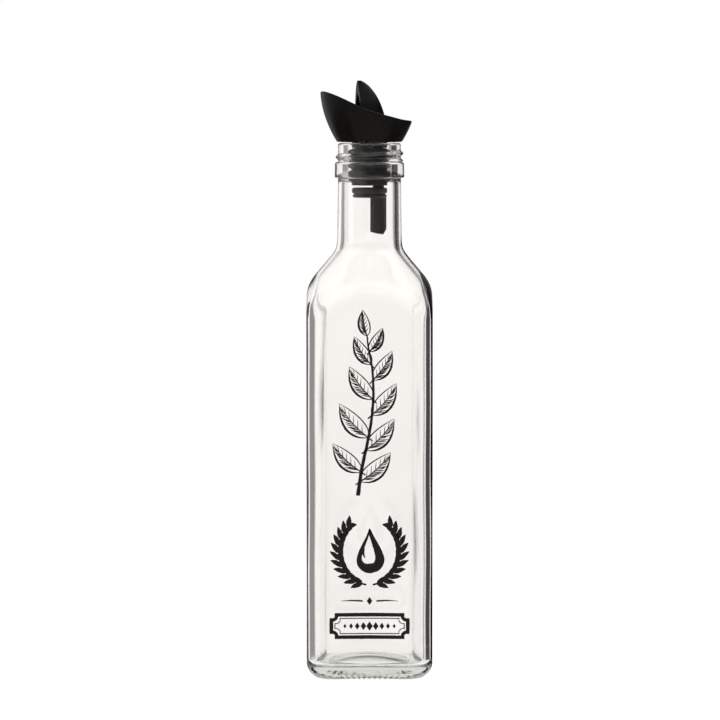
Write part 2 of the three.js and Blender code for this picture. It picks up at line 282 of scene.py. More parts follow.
def new_piece(name, points, faces, material, normals=None):
    mesh = bpy.data.meshes.new(name)
    mesh.from_pydata(np.asarray(points) * MM, [], faces)
    mesh.validate()
    mesh.shade_smooth()
    if normals is not None:
        mesh.normals_split_custom_set_from_vertices(normals)
    mesh.materials.append(material)
    piece = bpy.data.objects.new(name, mesh)
    bpy.context.scene.collection.objects.link(piece)
    return piece


def turn_pourer(vectors):
    turn = math.radians(POURER_TURN)
    x, y, z = np.asarray(vectors).T
    turned_x = x * math.cos(turn) - y * math.sin(turn)
    turned_y = x * math.sin(turn) + y * math.cos(turn)
    return np.stack([turned_x, turned_y, z], -1)


# A closed mesh where a distance function is zero, with a vertex in each grid cell that it passes
def net_mesh(distance, low, high, cell, rounds=4):
    axes = [np.arange(a - 2 * cell, b + 3 * cell, cell) for a, b in zip(low, high)]
    grid = np.stack(np.meshgrid(*axes, indexing="ij"), -1)
    field = distance(grid[..., 0], grid[..., 1], grid[..., 2])
    shape = np.array(field.shape)
    total = np.zeros((*(shape - 1), 3))
    hits = np.zeros(shape - 1)
    crossings = []
    for axis in range(3):
        first = [slice(None)] * 3
        second = [slice(None)] * 3
        first[axis] = slice(0, -1)
        second[axis] = slice(1, None)
        a, b = field[tuple(first)], field[tuple(second)]
        cross = (a < 0) != (b < 0)
        part = np.where(cross, a / np.where(cross, a - b, 1), 0)
        point = grid[tuple(first)].copy()
        point[..., axis] += part * cell
        u, v = (axis + 1) % 3, (axis + 2) % 3
        for du in (0, 1):
            for dv in (0, 1):
                pick = [slice(None)] * 3
                pick[u] = slice(du, shape[u] - 1 + du)
                pick[v] = slice(dv, shape[v] - 1 + dv)
                here = cross[tuple(pick)]
                total += np.where(here[..., None], point[tuple(pick)], 0)
                hits += here
        crossings.append((axis, u, v, np.argwhere(cross), (a < 0)[cross]))
    active = hits > 0
    index = np.full(shape - 1, -1)
    index[active] = np.arange(active.sum())
    points = total[active] / hits[active][:, None]
    quads = []
    for axis, u, v, edges, rising in crossings:
        corners = []
        for du, dv in ((-1, -1), (0, -1), (0, 0), (-1, 0)):
            cells = edges.copy()
            cells[:, u] += du
            cells[:, v] += dv
            corners.append(index[tuple(cells.T)])
        quad = np.stack(corners, -1)
        quads.append(np.where(rising[:, None], quad, quad[:, ::-1]))
    quads = np.concatenate(quads)

    def slope(p):
        step = cell / 20
        parts = []
        for axis in range(3):
            shift = np.zeros(3)
            shift[axis] = step
            parts.append(distance(*(p + shift).T) - distance(*(p - shift).T))
        return np.stack(parts, -1) / (2 * step)

    def settle(p):
        for _ in range(3):
            g = slope(p)
            move = (distance(*p.T) / np.maximum((g * g).sum(-1), 0.05))[:, None] * g
            length = np.linalg.norm(move, axis=-1, keepdims=True)
            p = p - move * np.minimum(1, cell / 2 / np.maximum(length, 1e-9))
        return p

    ends = np.concatenate([quads[:, [0, 1]], quads[:, [1, 2]], quads[:, [2, 3]], quads[:, [3, 0]]])
    count = np.bincount(ends.ravel(), minlength=len(points))[:, None]
    points = settle(points)
    for _ in range(rounds):
        near = np.zeros_like(points)
        for axis in range(3):
            near[:, axis] += np.bincount(ends[:, 0], points[ends[:, 1], axis], len(points))
            near[:, axis] += np.bincount(ends[:, 1], points[ends[:, 0], axis], len(points))
        points = settle(points * 0.5 + near / count * 0.5)
    normals = slope(points)
    normals /= np.maximum(np.linalg.norm(normals, axis=-1, keepdims=True), 1e-9)
    return points, quads, normals


def smooth_min(a, b, blend):
    overlap = np.maximum(blend - np.abs(a - b), 0) / blend
    return np.minimum(a, b) - overlap * overlap * blend / 4


def smooth_max(a, b, blend):
    return -smooth_min(-a, -b, blend)


def hinge(value, blend):
    return (value + np.hypot(value, blend)) / 2


# Glass bottle

def square_radius(angle, half, corner):
    quarter = np.pi / 2
    folded = np.abs(angle - quarter * np.round(angle / quarter))
    flat = half - corner
    in_corner = np.maximum(corner ** 2 - flat ** 2 * (1 - np.sin(2 * folded)), 0)
    at_corner = flat * (np.cos(folded) + np.sin(folded)) + np.sqrt(in_corner)
    return np.where(np.tan(folded) * half <= flat, half / np.cos(folded), at_corner)


def thread_rise(angle, z):
    turns = (z - THREAD_LOW) / THREAD_PITCH
    nearest = np.round(turns - angle / (2 * np.pi))
    travelled = np.degrees(angle) + 360 * nearest
    offset = z - THREAD_LOW - THREAD_PITCH * travelled / 360
    to_end = np.minimum(travelled - THREAD_START, THREAD_END - travelled)
    fade = np.clip(to_end / THREAD_FADE, 0, 1)
    across = np.clip(2 * offset / THREAD_WIDTH, -1, 1)
    return THREAD_DEPTH * fade * np.cos(across * np.pi / 2) ** THREAD_POWER


# Angles that split the body's outline into equal lengths
def even_angles(count):
    fine = np.linspace(0, 2 * np.pi, 20001)
    radius = square_radius(fine, BODY_HALF, BODY_CORNER)
    steps = np.hypot(np.diff(radius * np.cos(fine)), np.diff(radius * np.sin(fine)))
    length = np.concatenate([[0], np.cumsum(steps)])
    return np.interp(np.arange(count) / count * length[-1], length, fine)


# A polyline with its inner corners rounded, as [radius, height] rows
def rounded_line(corners, rounds, steps=6, spacing=0.6):
    rows = [np.array(corners[0], float)]
    for before, at, after, size in zip(corners, corners[1:], corners[2:], rounds):
        at = np.array(at, float)
        to_before = np.array(before) - at
        to_after = np.array(after) - at
        first = at + to_before / np.linalg.norm(to_before) * size
        last = at + to_after / np.linalg.norm(to_after) * size
        for part in np.linspace(0, 1, steps):
            rows.append(first * (1 - part) ** 2 + 2 * at * part * (1 - part) + last * part ** 2)
    rows.append(np.array(corners[-1], float))
    filled = [rows[0]]
    for a, b in zip(rows, rows[1:]):
        pieces = max(1, int(np.ceil(np.linalg.norm(b - a) / spacing)))
        filled += [a + (b - a) * i / pieces for i in range(1, pieces + 1)]
    return filled


def glass_mesh():
    angle = even_angles(GLASS_SIDES)
    ones = np.ones(GLASS_SIDES)
    valley = (1 - np.cos(np.arange(GLASS_SIDES) * 2 * np.pi / KNURL_COLUMNS)) / 2
    rings = []

    def add(radius, z):
        rings.append((radius * ones, z * ones))

    def shaped(round_radius, half, corner):
        return smooth_min(round_radius, square_radius(angle, half, corner), SHOULDER_BLEND)

    # Base: push-up, bearing ring with its knurl, heel
    for part in np.linspace(0, 1, PUSH_UP_RINGS):
        add(PUSH_UP_RADIUS * part, PUSH_UP_HEIGHT * (1 - part * part))
    bearing = square_radius(angle, BODY_HALF - HEEL_RADIUS, BODY_CORNER - CORNER_SHARE * HEEL_RADIUS)
    for part in BEARING_PLACES:
        knurl = KNURL_DEPTH * valley * min(1, 2 * part)
        add(PUSH_UP_RADIUS + (bearing - PUSH_UP_RADIUS) * part, knurl)
    for part in np.linspace(0, 1, HEEL_RINGS):
        turn = np.pi / 2 * part
        inset = HEEL_RADIUS * (1 - np.sin(turn))
        knurl = KNURL_DEPTH * valley * np.clip(1 - part / KNURL_FADE, 0, 1)
        add(square_radius(angle, BODY_HALF - inset, BODY_CORNER - CORNER_SHARE * inset),
            HEEL_RADIUS * (1 - np.cos(turn)) + knurl)
    # Sides, shoulder and neck
    for z in np.linspace(HEEL_RADIUS, SHOULDER_LOW, SIDE_RINGS)[1:-1]:
        add(square_radius(angle, BODY_HALF, BODY_CORNER), z)
    for z in np.linspace(SHOULDER_LOW, SHOULDER_HIGH, SHOULDER_RINGS):
        cone = NECK_RADIUS + hinge(CONE_SLOPE * (CONE_TOP - z), NECK_BLEND)
        add(shaped(cone, BODY_HALF, BODY_CORNER), z)
    neck_top = NECK_RADIUS + hinge(CONE_SLOPE * (CONE_TOP - SHOULDER_HIGH), NECK_BLEND)
    for radius, z in rounded_line(
            [(neck_top, SHOULDER_HIGH), (FINISH_RADIUS, BEAD_LOW), (BEAD_RADIUS, BEAD_LOW),
             (BEAD_RADIUS, BEAD_HIGH), (FINISH_RADIUS, BEAD_HIGH)],
            [BEAD_FILLET, BEAD_EDGE, BEAD_ROUND], spacing=2.2)[1:-1]:
        add(radius, z)
    # Thread and rim
    rim_low = GLASS_HEIGHT - RIM_ROUND
    for z in np.linspace(BEAD_HIGH, rim_low, THREAD_RINGS):
        add(FINISH_RADIUS + thread_rise(angle, z) * np.clip((z - BEAD_HIGH) / THREAD_RUN_IN, 0, 1), z)
    for part in np.linspace(0, 1, RIM_RINGS)[1:]:
        turn = np.pi / 2 * part
        add(FINISH_RADIUS - RIM_ROUND * (1 - np.cos(turn)), rim_low + RIM_ROUND * np.sin(turn))
    # Bore, then the inside of the neck, shoulder, sides and floor
    for part in np.linspace(0, 1, RIM_RINGS):
        turn = np.pi / 2 * part
        add(BORE_RADIUS + RIM_ROUND * (1 - np.sin(turn)),
            GLASS_HEIGHT - RIM_ROUND * (1 - np.cos(turn)))
    inner_top = NECK_BORE + hinge(CONE_SLOPE * (INNER_CONE_TOP - SHOULDER_HIGH), NECK_BLEND)
    for radius, z in rounded_line(
            [(BORE_RADIUS, GLASS_HEIGHT - RIM_ROUND), (BORE_RADIUS, BORE_LOW),
             (NECK_BORE, BORE_LOW - BORE_FLARE), (inner_top, SHOULDER_HIGH)],
            BORE_ROUNDS, spacing=2.5)[1:-1]:
        add(radius, z)

    def wave(z):
        total = 0
        for share, length, number, start in INNER_WAVES:
            total = total + share * np.sin(z / length + number * angle + start)
        fade_low = np.clip((z - INNER_FLOOR) / WAVE_FADE_LOW, 0, 1)
        fade_high = np.clip((SHOULDER_HIGH - z) / WAVE_FADE_HIGH, 0, 1)
        return INNER_WAVE * total * (fade_low * fade_high) / WAVE_SUM

    for z in np.linspace(SHOULDER_HIGH, SHOULDER_LOW, INNER_SHOULDER_RINGS):
        cone = NECK_BORE + hinge(CONE_SLOPE * (INNER_CONE_TOP - z), NECK_BLEND)
        add(shaped(cone, INNER_HALF, INNER_CORNER) + wave(z), z)
    for z in np.linspace(SHOULDER_LOW, INNER_FLOOR + INNER_HEEL, INNER_SIDE_RINGS)[1:-1]:
        add(square_radius(angle, INNER_HALF, INNER_CORNER) + wave(z), z)
    for part in np.linspace(0, 1, INNER_HEEL_RINGS):
        turn = np.pi / 2 * part
        inset = INNER_HEEL * (1 - np.cos(turn))
        z = INNER_FLOOR + INNER_HEEL * (1 - np.sin(turn))
        wall = square_radius(angle, INNER_HALF - inset, INNER_CORNER - CORNER_SHARE * inset)
        add(wall + wave(z) * (1 - part), z)
    for part in np.linspace(1, 0, INNER_DOME_RINGS):
        add(INNER_DOME_RADIUS * part, INNER_FLOOR + INNER_DOME_HEIGHT * (1 - part * part))

    radius = np.array([r for r, _ in rings])
    height = np.array([z for _, z in rings])
    grid = np.stack([radius * np.cos(angle), radius * np.sin(angle), height], -1)
    count = len(rings)
    points = np.concatenate([grid[0, :1], grid[1:-1].reshape(-1, 3), grid[-1, :1]])
    last = len(points) - 1
    ids = np.arange(1, last).reshape(count - 2, GLASS_SIDES)
    nearby = np.roll(ids, -1, axis=1)
    quads = np.stack([ids[:-1], nearby[:-1], nearby[1:], ids[1:]], -1).reshape(-1, 4)
    faces = quads.tolist()
    faces += [[0, b, a] for a, b in zip(ids[0].tolist(), nearby[0].tolist())]
    faces += [[last, a, b] for a, b in zip(ids[-1].tolist(), nearby[-1].tolist())]
    return points, faces


# Pourer head, plug and vent tube, as distances in the pourer's own frame

def cup_radius(height):
    below = 1 - np.clip(height, -5, CUP_UPRIGHT_AT) / CUP_UPRIGHT_AT
    return CUP_FOOT_RADIUS + CUP_FLARE * (1 - below * below)


def rim_height(x):
    lip = LIP_SLOPE * hinge(LIP_START - x, RIM_BLEND)
    rear = REAR_SLOPE * hinge(x - REAR_START, RIM_BLEND)
    return RIM_MIDDLE - RIM_SLOPE * x + lip + rear


# A function that is zero on a surface, made into a distance near it by its slope
def as_distance(function, x, y, z, step=0.02):
    value = function(x, y, z)
    dx = function(x + step, y, z) - function(x - step, y, z)
    dy = function(x, y + step, z) - function(x, y - step, z)
    dz = function(x, y, z + step) - function(x, y, z - step)
    return value / np.maximum(np.sqrt(dx * dx + dy * dy + dz * dz) / (2 * step), 0.02)


def egg(x, y, h, length, half_width, top):
    def shell(x, y, h):
        level = (h - CUP_FLOOR) / (top - CUP_FLOOR)
        taper = np.maximum(1 - level * level, 0) ** (0.5 + HOOD_TAPER)
        return np.hypot((x - HOOD_FACE) / length, y / half_width) - taper
    return as_distance(shell, x, y, h)


def rod(x, y, z, radius, low, high, at):
    return np.maximum(np.hypot(x - at, y) - radius, np.maximum(low - z, z - high))


def head_distance(x, y, z):
    h = z - CUP_BASE
    r = np.hypot(x, y)
    steep = 2 * CUP_FLARE / CUP_UPRIGHT_AT * (1 - np.clip(h, 0, CUP_UPRIGHT_AT) / CUP_UPRIGHT_AT)
    lean = 1 / np.sqrt(1 + steep * steep)
    outside = (r - cup_radius(h)) * lean
    cavity = smooth_max(outside + CUP_WALL, CUP_FLOOR - h, CUP_FILLET * 2)
    cup = smooth_max(outside, -h, EDGE_ROUND)
    cup = smooth_max(cup, -cavity, 0.4)
    cup = smooth_max(cup, (h - rim_height(x)) * 0.95, RIM_EDGE)
    face = HOOD_FACE - math.tan(math.radians(HOOD_LEAN)) * (h - CUP_FLOOR) - x
    hood = smooth_max(egg(x, y, h, HOOD_LENGTH, HOOD_HALF_WIDTH, HOOD_TOP), face, EDGE_ROUND)
    hood = np.maximum(hood, CUP_FLOOR / 2 - h)
    body = smooth_min(cup, hood, 1.5)
    body = smooth_min(body, rod(x, y, h, COLLAR_RADIUS, -COLLAR_DEPTH, CUP_FLOOR / 2, 0), 0.3)
    arch = np.maximum(egg(x, y, h, ARCH_LENGTH, ARCH_HALF_WIDTH, ARCH_TOP), CUP_FLOOR - h)
    body = smooth_max(body, -arch, EDGE_ROUND)
    for at, radius in ((POUR_AT, POUR_RADIUS), (VENT_AT, VENT_RADIUS)):
        body = smooth_max(body, -rod(x, y, h, radius, -3 * COLLAR_DEPTH, 2 * CUP_FLOOR, at), 0.4)
    return body


def ring_slab(r, z, radius, low, high, edge):
    return smooth_max(r - radius, np.maximum(low - z, z - high), edge * 2)


def plug_distance(x, y, z):
    r = np.hypot(x, y)
    body = ring_slab(r, z, PLUG_RADIUS, PLUG_LOW, PLUG_TOP, 0.3)
    for low, high in RIBS:
        body = smooth_min(body, ring_slab(r, z, RIB_RADIUS, low, high, RIB_ROUND), 0.5)
    for at, radius in ((POUR_AT, POUR_RADIUS), (VENT_AT, VENT_RADIUS)):
        body = np.maximum(body, -rod(x, y, z, radius, PLUG_LOW - 3, PLUG_TOP + 3, at))
    return np.maximum(body, -rod(x, y, z, SOCKET_RADIUS, PLUG_LOW - 3, SOCKET_TOP, VENT_AT))


def tube_distance(x, y, z):
    r = np.hypot(x, y)
    body = ring_slab(r, z, DISC_GROOVE_RADIUS, DISCS[0][0], DISCS[1][1], 0.2)
    for low, high, radius in DISCS:
        body = smooth_min(body, ring_slab(r, z, radius, low, high, DISC_ROUND), 0.3)
    from_tip = x - VENT_AT - TUBE_TIP
    end = TUBE_LOW + np.where(from_tip > 0, TUBE_TIP_SLOPE * from_tip,
                              -TUBE_END_RISE / (TUBE_RADIUS + TUBE_TIP) * from_tip)
    tube = smooth_max(np.hypot(x - VENT_AT, y) - TUBE_RADIUS, (end - z) * 0.8, 0.5)
    tube = np.maximum(tube, z - DISCS[0][0] - 1)
    body = smooth_min(body, tube, 0.6)
    body = smooth_min(body, rod(x, y, z, SPIGOT_RADIUS, DISCS[1][1] - 1, SPIGOT_TOP, VENT_AT), 0.3)
    body = smooth_max(body, -rod(x, y, z, TUBE_BORE, TUBE_LOW - 5, DISCS[0][0], VENT_AT), 0.3)
    body = np.maximum(body, -rod(x, y, z, VENT_RADIUS, DISCS[0][0] - 2, SPIGOT_TOP + 3, VENT_AT))
    body = np.maximum(body, -rod(x, y, z, POUR_RADIUS, DISCS[0][0] - 3, DISCS[1][1] + 3, POUR_AT))
    side = np.maximum(np.hypot(y, z - SIDE_HOLE_Z) - SIDE_HOLE_RADIUS, x - VENT_AT)
    return smooth_max(body, -side, 0.3)


# Print: ribbons of ink with a hand-drawn wobble

class Ink:
    def __init__(self):
        self.points = []
        self.faces = []
        self.level = 0
        self.random = np.random.default_rng(INK_SEED)

    # A closed thin solid between two lines of equal length, in face coordinates (x, z)
    def ribbon(self, left, right):
        count = len(left)
        start = len(self.points)
        self.level = (self.level + 1) % INK_LEVELS
        for depth in (INK_FRONT - INK_STEP * self.level, INK_BACK):
            for (ax, az), (bx, bz) in zip(left, right):
                self.points.append((ax, depth, az))
                self.points.append((bx, depth, bz))
        back = start + 2 * count
        for i in range(count - 1):
            a = 2 * i
            self.faces.append([start + a, start + a + 1, start + a + 3, start + a + 2])
            self.faces.append([back + a, back + a + 2, back + a + 3, back + a + 1])
            self.faces.append([start + a, start + a + 2, back + a + 2, back + a])
            self.faces.append([start + a + 1, back + a + 1, back + a + 3, start + a + 3])
        a = 2 * count - 2
        self.faces.append([start, back, back + 1, start + 1])
        self.faces.append([start + a, start + a + 1, back + a + 1, back + a])

    # A brush stroke through some points, with a width at each of them
    def stroke(self, points, widths, samples=16, wobble=0.06):
        points = np.asarray(points, float)
        at = np.linspace(0, len(points) - 1, samples)
        low = np.clip(at.astype(int), 0, len(points) - 2)
        t = (at - low)[:, None]
        padded = np.concatenate([2 * points[:1] - points[1:2], points, 2 * points[-1:] - points[-2:-1]])
        p0, p1, p2, p3 = (padded[low + i] for i in range(4))
        line = 0.5 * (2 * p1 + (p2 - p0) * t + (2 * p0 - 5 * p1 + 4 * p2 - p3) * t ** 2
                      + (3 * p1 - p0 - 3 * p2 + p3) * t ** 3)
        width = np.interp(at, np.linspace(0, len(points) - 1, len(widths)), widths) / 2
        ahead = np.gradient(line, axis=0)
        ahead /= np.maximum(np.linalg.norm(ahead, axis=1, keepdims=True), 1e-9)
        aside = np.stack([-ahead[:, 1], ahead[:, 0]], -1)
        rough = 1 + wobble * self.random.standard_normal((2, samples))
        left = line + aside * (width * rough[0])[:, None]
        right = line - aside * (width * rough[1])[:, None]
        self.ribbon(left, right)


def leaf_frame(base, direction, length, bend):
    along = np.array([math.cos(direction), math.sin(direction)])
    aside = np.array([-along[1], along[0]])

    def place(t, n):
        t, n = np.asarray(t, float), np.asarray(n, float)
        side = n + bend * length * np.sin(np.pi * t * 0.9)
        return np.asarray(base) + np.outer(t * length, along) + np.outer(side, aside)
    return place


def leaf_width(t, half):
    return half * np.sin(np.pi * np.asarray(t, float) ** 0.8) ** 0.85


# A leaf as a line drawing: edges, midrib, veins on one side and hatching on the other
def drawn_leaf(ink, base, direction, length, half, bend, dark_side):
    place = leaf_frame(base, direction, length, bend)
    t = np.linspace(0, 1, 9)
    for side in (1, -1):
        heavy = 1.1 if side == dark_side else 0.6
        ink.stroke(place(t, side * leaf_width(t, half)), [0.3, heavy, heavy, heavy * 0.8, 0.2], 22)
    ink.stroke(place(np.linspace(-0.12, 0.93, 6), np.zeros(6)), [0.7, 0.6, 0.5, 0.2], 18)
    for start in np.linspace(0.1, 0.8, HATCHES):
        reach = 0.55 + 0.4 * ink.random.random()
        end = min(start + 0.16, 0.98)
        line = [start, (start + end) / 2, end]
        out = dark_side * np.array([0.03, 0.55, 0.96]) * reach * leaf_width(line, half)
        ink.stroke(place(line, out), [0.45, 0.6, 0.15], 7)
    for start in np.linspace(0.18, 0.74, VEINS):
        end = start + 0.15
        line = [start, (start + end) / 2, end]
        out = -dark_side * np.array([0.03, 0.4, 0.72]) * leaf_width(line, half)
        ink.stroke(place(line, out), [0.4, 0.35, 0.12], 7)


# A leaf as one dab of the brush
def solid_leaf(ink, base, direction, length, half, bend):
    place = leaf_frame(base, direction, length, bend)
    t = np.linspace(0, 1, 14)
    width = leaf_width(t, half) * (1 + 0.05 * ink.random.standard_normal(14))
    ink.ribbon(place(t, width + 0.05), place(t, -width - 0.05))


def lozenge(ink, x, z, half):
    wide = half * 0.7
    point = 0.02
    ink.ribbon([(x + point, z + half), (x + wide, z), (x + point, z - half)],
               [(x - point, z + half), (x - wide, z), (x - point, z - half)])


def print_mesh():
    ink = Ink()
    # Upright herb sprig
    stem = np.array(STEM)
    ink.stroke(stem, [1.9, 1.5, 1.3, 1.0, 0.6], 48)
    for place, side, length in SPRIG_LEAVES:
        low = int(place)
        base = stem[low] + (stem[low + 1] - stem[low]) * (place - low)
        rise = math.radians(LEAF_RISE + LEAF_RISE_GAIN * place)
        direction = rise if side > 0 else math.pi - rise
        drawn_leaf(ink, base, direction, length, length * LEAF_SLIMNESS, -LEAF_BEND * side, -side)
    drawn_leaf(ink, stem[-1], math.radians(98), 12.5, 2.6, 0.05, 1)
    # Bold drop in a laurel wreath
    middle = np.array(WREATH_MIDDLE)
    edge = []
    for part in np.linspace(0, 1, 15):
        turn = 2 * np.pi * part
        reach = DROP_REACH * (1 - 0.12 * math.cos(turn))
        x = reach * math.sin(turn) * (1 - math.cos(turn)) / 2 * 1.25
        edge.append(middle + [x, 1 + DROP_HALF_HEIGHT * math.cos(turn)])
    ink.stroke(edge, [0.5, 2.2, 4.4, 4.6, 2.4, 1.2, 0.5], 80, NEAT)
    ink.stroke(middle + np.array([(-2.2, -3.4), (-2.9, -1.2), (-2.3, 1.2)]), [0.5, 1.1, 0.3], 12)

    def on_wreath(side, turn):
        across = side * WREATH_HALF_WIDTH * math.cos(turn)
        return middle + np.array([across, WREATH_HALF_HEIGHT * math.sin(turn)])

    for side in (1, -1):
        arc = []
        for part in np.linspace(0, 1, 9):
            turn = math.radians(WREATH_START + WREATH_SWEEP * part)
            arc.append(on_wreath(side, turn))
        ink.stroke(arc, [0.9, 0.75, 0.6, 0.35], 50)
        for part in np.linspace(0.06, 0.97, WREATH_PAIRS):
            turn = math.radians(WREATH_START + WREATH_SWEEP * part)
            base = on_wreath(side, turn)
            ahead = turn + math.pi / 2
            for out in (1, -1):
                swing = ahead - out * math.radians(WREATH_SPREAD)
                direction = swing if side > 0 else math.pi - swing
                size = WREATH_LEAF - 1.6 * abs(part - 0.45)
                length = size * (1 if out > 0 else 0.85)
                solid_leaf(ink, base, direction, length, WREATH_LEAF_HALF, 0.06 * side * out)
    # Divider with a lozenge
    for side in (1, -1):
        line = [(side * 3.2, DIVIDER_Z), (side * 8, DIVIDER_Z + 0.2), (side * 13.5, DIVIDER_Z)]
        ink.stroke(line, [0.8, 0.7, 0.2], 20)
    lozenge(ink, 0, DIVIDER_Z, DIVIDER_LOZENGE)
    # Blank plaque with stepped-in corners
    notch = PLAQUE_NOTCH
    for inset, width in PLAQUE_LINES:
        h = PLAQUE_HALF - inset
        a = PLAQUE_LOW + inset
        b = PLAQUE_HIGH - inset
        corner_widths = [width * 0.8, width, width * 0.8]
        for side in (1, -1):
            for z, inward in ((b, -1), (a, 1)):
                corner = [(side * (h - notch), z),
                          (side * (h - notch), z + inward * notch * 0.55),
                          (side * (h - notch * 0.45), z + inward * notch),
                          (side * h, z + inward * notch)]
                ink.stroke(corner, corner_widths, 12, NEAT)
            end = [(side * h, a + notch - width / 2),
                   (side * h, (a + b) / 2),
                   (side * h, b - notch + width / 2)]
            ink.stroke(end, [width, width * 1.1, width], 12, NEAT)
        for z in (a, b):
            line = [(-h + notch - width / 2, z), (0, z + 0.12), (h - notch + width / 2, z)]
            ink.stroke(line, [width, width * 1.05, width], 30, NEAT)
    for step in range(-4, 5):
        lozenge(ink, ROW_STEP * step, ROW_Z, ROW_LOZENGE - ROW_SHRINK * abs(step))
    return ink.points, ink.faces


# Materials

class Nodes:
    def __init__(self, name):
        self.material = bpy.data.materials.new(name)
        self.material.use_nodes = True
        self.tree = self.material.node_tree
        self.shader = self.tree.nodes["Principled BSDF"]
        self.output = self.tree.nodes["Material Output"]
        coordinates = self.tree.nodes.new("ShaderNodeTexCoord")
        self.where = coordinates.outputs["Object"]

    def link(self, a, b):
        self.tree.links.new(a, b)

    def set(self, **values):
        for name, value in values.items():
            self.shader.inputs[name.replace("_", " ")].default_value = value

    def noise(self, scale, detail=4.0, roughness=0.55, stretch=None):
        node = self.tree.nodes.new("ShaderNodeTexNoise")
        node.inputs["Scale"].default_value = scale
        node.inputs["Detail"].default_value = detail
        node.inputs["Roughness"].default_value = roughness
        where = self.where
        if stretch:
            mapping = self.tree.nodes.new("ShaderNodeMapping")
            mapping.inputs["Scale"].default_value = stretch
            self.link(where, mapping.inputs["Vector"])
            where = mapping.outputs["Vector"]
        self.link(where, node.inputs["Vector"])
        return node.outputs["Fac"]

    def ramp(self, value, *stops):
        node = self.tree.nodes.new("ShaderNodeValToRGB")
        elements = node.color_ramp.elements
        while len(elements) < len(stops):
            elements.new(0.5)
        for element, (position, colour) in zip(elements, stops):
            element.position = position
            element.color = (*colour, 1)
        self.link(value, node.inputs["Fac"])
        return node.outputs["Color"]

    def span(self, value, low, high, to_low, to_high):
        node = self.tree.nodes.new("ShaderNodeMapRange")
        node.inputs["From Min"].default_value = low
        node.inputs["From Max"].default_value = high
        node.inputs["To Min"].default_value = to_low
        node.inputs["To Max"].default_value = to_high
        self.link(value, node.inputs["Value"])
        return node.outputs["Result"]

    def maths(self, operation, *values):
        node = self.tree.nodes.new("ShaderNodeMath")
        node.operation = operation
        for value, socket in zip(values, node.inputs):
            if isinstance(value, bpy.types.NodeSocket):
                self.link(value, socket)
            else:
                socket.default_value = value
        return node.outputs["Value"]

    def bump(self, height, strength, distance, before=None):
        node = self.tree.nodes.new("ShaderNodeBump")
        node.inputs["Strength"].default_value = strength
        node.inputs["Distance"].default_value = distance
        self.link(height, node.inputs["Height"])
        if before:
            self.link(before, node.inputs["Normal"])
        return node.outputs["Normal"]

    def to(self, output, name):
        self.link(output, self.shader.inputs[name])


def clear_glass():
    n = Nodes("clear_glass")
    n.set(Transmission_Weight=1.0, IOR=1.52)
    height = n.tree.nodes.new("ShaderNodeSeparateXYZ")
    n.link(n.where, height.inputs["Vector"])
    # Painted shade: dark specks on the bearing ring only, standing in for the shade where the knurl
    # teeth meet the floor, from its height and its distance from the axis; the same pattern also pits
    # the surface
    x_squared = n.maths("POWER", height.outputs["X"], 2)
    y_squared = n.maths("POWER", height.outputs["Y"], 2)
    across = n.maths("SQRT", n.maths("ADD", x_squared, y_squared))
    low_down = n.span(height.outputs["Z"], 0.0012, 0.004, 1, 0)
    outside = n.span(across, 0.017, 0.019, 0, 1)
    pits_and_painted_shade = n.maths("MULTIPLY", n.noise(700, 2), n.maths("MULTIPLY", low_down, outside))
    cloud = n.span(n.noise(35, 2), 0.3, 0.7, 0, 0.2)
    tone = n.maths("ADD", cloud, n.span(pits_and_painted_shade, 0.42, 0.55, 0, 0.8))
    # The darkest colour is painted shade, put in the specks of the bearing ring
    clear, clearest, painted_shade_speck = (0.972, 0.97, 0.96), (0.982, 0.98, 0.972), (0.08, 0.08, 0.078)
    n.to(n.ramp(tone, (0, clear), (0.2, clearest), (1, painted_shade_speck)), "Base Color")
    n.to(n.span(n.noise(90, 5), 0.45, 0.75, 0.0, 0.03), "Roughness")
    pitted = n.bump(pits_and_painted_shade, 0.5, 0.0006)
    n.to(n.bump(n.noise(70, 2, stretch=(1, 1, 0.35)), 0.05, 0.001, pitted), "Normal")
    volume = n.tree.nodes.new("ShaderNodeVolumeAbsorption")
    volume.inputs["Color"].default_value = (0.712, 0.738, 0.708, 1)
    volume.inputs["Density"].default_value = 30
    n.link(volume.outputs["Volume"], n.output.inputs["Volume"])
    return n.material


def black_plastic():
    n = Nodes("black_plastic")
    n.set(IOR=1.49, Specular_IOR_Level=0.1)
    colour = n.ramp(n.noise(120, 5), (0.35, (0.003, 0.0027, 0.0024)), (0.7, (0.0065, 0.006, 0.0054)))
    n.to(colour, "Base Color")
    n.to(n.span(n.noise(260, 5), 0.35, 0.7, 0.16, 0.27), "Roughness")
    n.to(n.bump(n.noise(120, 2), 0.06, 0.001), "Normal")
    return n.material


def dark_rubber():
    n = Nodes("dark_rubber")
    n.set(IOR=1.5, Specular_IOR_Level=0.3)
    colour = n.ramp(n.noise(300, 5), (0.3, (0.011, 0.0102, 0.0094)), (0.75, (0.024, 0.0222, 0.0204)))
    n.to(colour, "Base Color")
    n.to(n.span(n.noise(500, 4), 0.3, 0.7, 0.45, 0.65), "Roughness")
    n.to(n.bump(n.noise(1800, 3), 0.2, 0.0003), "Normal")
    return n.material


def grey_plastic():
    n = Nodes("grey_plastic")
    n.set(IOR=1.49)
    streaks = n.noise(220, 5, stretch=(1, 1, 0.3))
    n.to(n.ramp(streaks, (0.3, (0.02, 0.018, 0.016)), (0.75, (0.034, 0.0306, 0.028))), "Base Color")
    n.to(n.span(n.noise(400, 4), 0.3, 0.7, 0.32, 0.5), "Roughness")
    n.to(n.bump(n.noise(1500, 3), 0.12, 0.0003), "Normal")
    return n.material


def black_ink():
    n = Nodes("black_ink")
    n.set(IOR=1.5, Specular_IOR_Level=0.2)
    n.to(n.ramp(n.noise(700, 6, 0.65), (0.3, (0.006, 0.0057, 0.0053)), (0.62, (0.012, 0.0115, 0.011)),
                (0.8, (0.03, 0.029, 0.028))), "Base Color")
    n.to(n.span(n.noise(900, 4), 0.3, 0.7, 0.4, 0.6), "Roughness")
    n.to(n.bump(n.noise(3000, 3), 0.15, 0.0001), "Normal")
    return n.material


